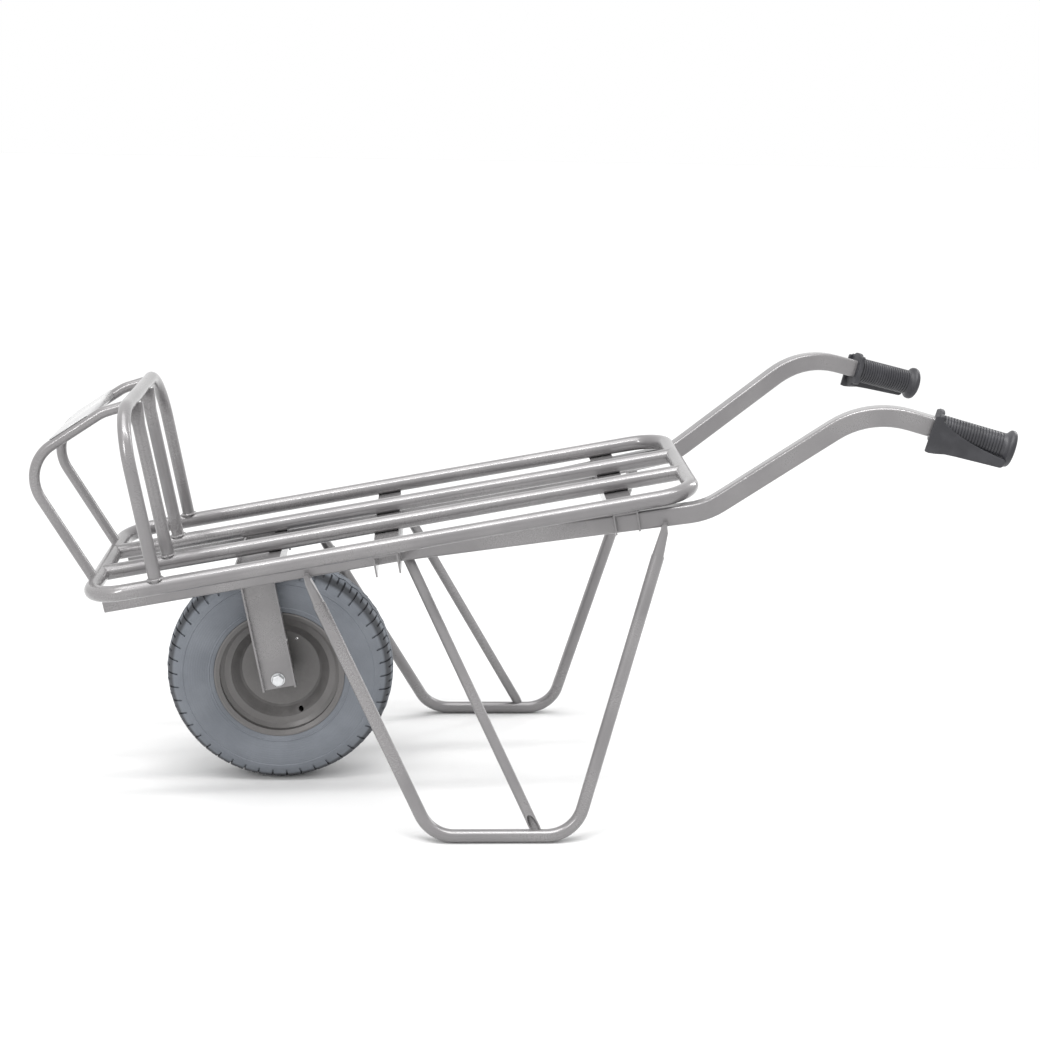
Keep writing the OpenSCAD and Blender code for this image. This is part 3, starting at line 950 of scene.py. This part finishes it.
@dataclass
class Wardrobe:
    """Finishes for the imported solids."""

    axle: Vector
    paint: bpy.types.Material = field(init=False)
    plate: bpy.types.Material = field(init=False)
    rim: bpy.types.Material = field(init=False)
    rubber: bpy.types.Material = field(init=False)
    grip: bpy.types.Material = field(init=False)
    zinc: bpy.types.Material = field(init=False)
    steel: bpy.types.Material = field(init=False)

    def __post_init__(self) -> None:
        """Builds every finish."""
        self.paint = PowderCoat("frame_paint", (0.212, 0.205, 0.207), (0.172, 0.166, 0.169),
                                (0.40, 0.398, 0.398)).build()
        # painted highlight: the bow plate gets a much lighter copy of the frame paint, standing in for the light its
        # upward face catches
        self.plate = PowderCoat("plate_paint", (0.52, 0.52, 0.52), (0.42, 0.42, 0.425),
                                (0.70, 0.70, 0.70)).build()
        self.rim = RimPaint("rim_paint", (0.125, 0.120, 0.118), (0.034, 0.033, 0.032),
                            (0.175, 0.168, 0.165), self.axle).build()
        self.rubber = TyreRubber("tyre_rubber", (0.128, 0.140, 0.160), (0.190, 0.205, 0.228), (0.018, 0.019, 0.022),
                                 self.axle, 0.2).build()
        self.grip = GripPlastic("grip_plastic", (0.020, 0.020, 0.024), (0.045, 0.045, 0.051)).build()
        self.zinc = BareMetal("zinc_plate", (0.66, 0.67, 0.68), (0.48, 0.49, 0.50), 0.30, self.axle).build()
        self.steel = BareMetal("turned_steel", (0.55, 0.55, 0.54), (0.38, 0.37, 0.36), 0.32, self.axle).build()

    def dress_nodes(self) -> None:
        """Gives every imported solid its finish."""
        special = {"tyre": self.rubber, "left_grip": self.grip, "right_grip": self.grip, "bow_plate": self.plate,
                   "left_rim_half": self.rim, "right_rim_half": self.rim, "axle_bolt": self.zinc,
                   "axle_nut": self.zinc, "left_washer": self.zinc, "right_washer": self.zinc,
                   "axle_tube": self.steel, "left_spacer": self.steel, "right_spacer": self.steel,
                   "left_bearing": self.steel, "right_bearing": self.steel, "wheel_hub": self.rim}
        for name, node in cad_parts.items():
            dress(node, special.get(name, self.paint))
        LOG.info("%d solids dressed", len(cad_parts))


@dataclass
class Studio:
    """White sweep, soft boxes and the camera."""

    place: Vector = field(default_factory=lambda: Vector((-0.14772, -3.11121, 1.26136)))
    yaw: float = -0.0553
    pitch: float = -0.2478
    roll: float = -0.0194
    lens: float = 63.15

    def floor(self) -> None:
        """Lays a pale floor."""
        bpy.ops.mesh.primitive_plane_add(size=40, location=(0, 0, 0))
        floor = bpy.context.object
        floor.name = "studio_floor"
        g = Graph("studio_floor")
        tone = g.mix(g.noise(3.0), (0.66, 0.66, 0.66), (0.64, 0.64, 0.64))
        dress(floor, g.finish(Base_Color=tone, Roughness=0.9))

    def box(self, name: str, at: Vector, aim: Vector, size: Pair, power: float) -> None:
        """Hangs one soft box.

        Args:
            name: Its name.
            at: Its place.
            aim: The point that it faces.
            size: Width and height, in metres.
            power: Power, in watts.
        """
        data = bpy.data.lights.new(name, "AREA")
        data.shape, data.size, data.size_y, data.energy = "RECTANGLE", size[0], size[1], power
        lamp = bpy.data.objects.new(name, data)
        lamp.location = at
        lamp.rotation_euler = (aim - at).to_track_quat("-Z", "Y").to_euler()
        bpy.context.scene.collection.objects.link(lamp)

    def light(self) -> None:
        """Hangs the soft boxes and sets the pale surroundings."""
        world = bpy.data.worlds.new("studio")
        world.use_nodes = True
        world.node_tree.nodes["Background"].inputs[0].default_value = (1.0, 1.0, 1.0, 1.0)
        world.node_tree.nodes["Background"].inputs[1].default_value = 1.0
        bpy.context.scene.world = world
        aim = Vector((0, 0, 0.35))
        bpy.context.scene.view_settings.view_transform = "Standard"
        sky = bpy.data.lights.new("sky", "SUN")
        sky.energy, sky.angle = 1.9, math.radians(50)
        lamp = bpy.data.objects.new("sky", sky)
        lamp.rotation_euler = (math.radians(8), math.radians(-6), 0)
        bpy.context.scene.collection.objects.link(lamp)
        self.box("overhead", Vector((0.1, -0.9, 2.7)), aim, (3.0, 0.16), 34)
        self.box("left_front", Vector((-2.2, -2.6, 2.2)), aim, (0.25, 1.6), 30)
        self.box("right_back", Vector((2.4, 1.8, 1.9)), aim, (0.4, 1.4), 20)

    def camera(self) -> None:
        """Sets the camera."""
        data = bpy.data.cameras.new("camera")
        data.lens, data.sensor_width = self.lens, 36.0
        made = bpy.data.objects.new("camera", data)
        turn = (Matrix.Rotation(self.yaw, 4, "Z") @ Matrix.Rotation(self.pitch, 4, "X")
                @ Matrix.Rotation(self.roll, 4, "Y") @ Matrix.Rotation(math.pi / 2, 4, "X"))
        made.matrix_world = Matrix.Translation(self.place) @ turn
        bpy.context.scene.collection.objects.link(made)
        bpy.context.scene.camera = made


def deck_point(s: float, y: float, n: float) -> Vector:
    """A point of the deck's own frame, in the row frame.

    Args:
        s: Metres along the deck from above the axle.
        y: Metres to the right.
        n: Metres square to the deck from its tubes' centre plane.

    Returns:
        The point.
    """
    along = Vector((math.cos(DECK_SLOPE), 0, math.sin(DECK_SLOPE)))
    return DECK_START + along * s + DECK_NORMAL * n + Vector((0, y, 0))


def main() -> None:
    """Dresses the frame, adds the finer pieces and sets the studio."""
    logging.basicConfig(level=logging.INFO, format="%(name)s %(message)s")
    low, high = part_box("tyre")
    axle = (low + high) / 2
    wardrobe = Wardrobe(axle)
    wardrobe.dress_nodes()
    place_piece(Tyre().build(axle), Body.WHEEL, "tyre_rubber", wardrobe.rubber, "tyre")
    for side, node in ((Side.LEFT, "left_grip"), (Side.RIGHT, "right_grip")):
        place_piece(Grip(side).build(), Body.FRAME, "grip_rubber", wardrobe.grip, node)
    # painted highlight: the plate's lighter paint stands in for the light on its upward face
    place_piece(BowPlate().build(), Body.FRAME, "plate_paint", wardrobe.plate, "bow_plate")
    place_piece(AxleBolt().build(axle), Body.FRAME, "zinc_steel", wardrobe.zinc, "axle_bolt")
    head_s, arch_y, bar_y, tube = -0.186, 0.220, 0.067, 0.0112
    for side in Side:
        word = side.name.lower()
        arch_foot = deck_point(head_s, side.value * arch_y, 0.0130)
        bar_foot = deck_point(head_s, side.value * bar_y, 0.0120)
        for ring in (WeldRing(f"{word}_arch_foot_weld", arch_foot, DECK_NORMAL, tube, 0.0036),
                     WeldRing(f"{word}_bar_foot_weld", bar_foot, DECK_NORMAL, tube, 0.0034, 5)):
            place_piece(ring.build(), Body.FRAME, "frame_paint", wardrobe.paint)
    studio = Studio()
    studio.floor()
    studio.light()
    studio.camera()


if __name__ == "__main__":
    main()
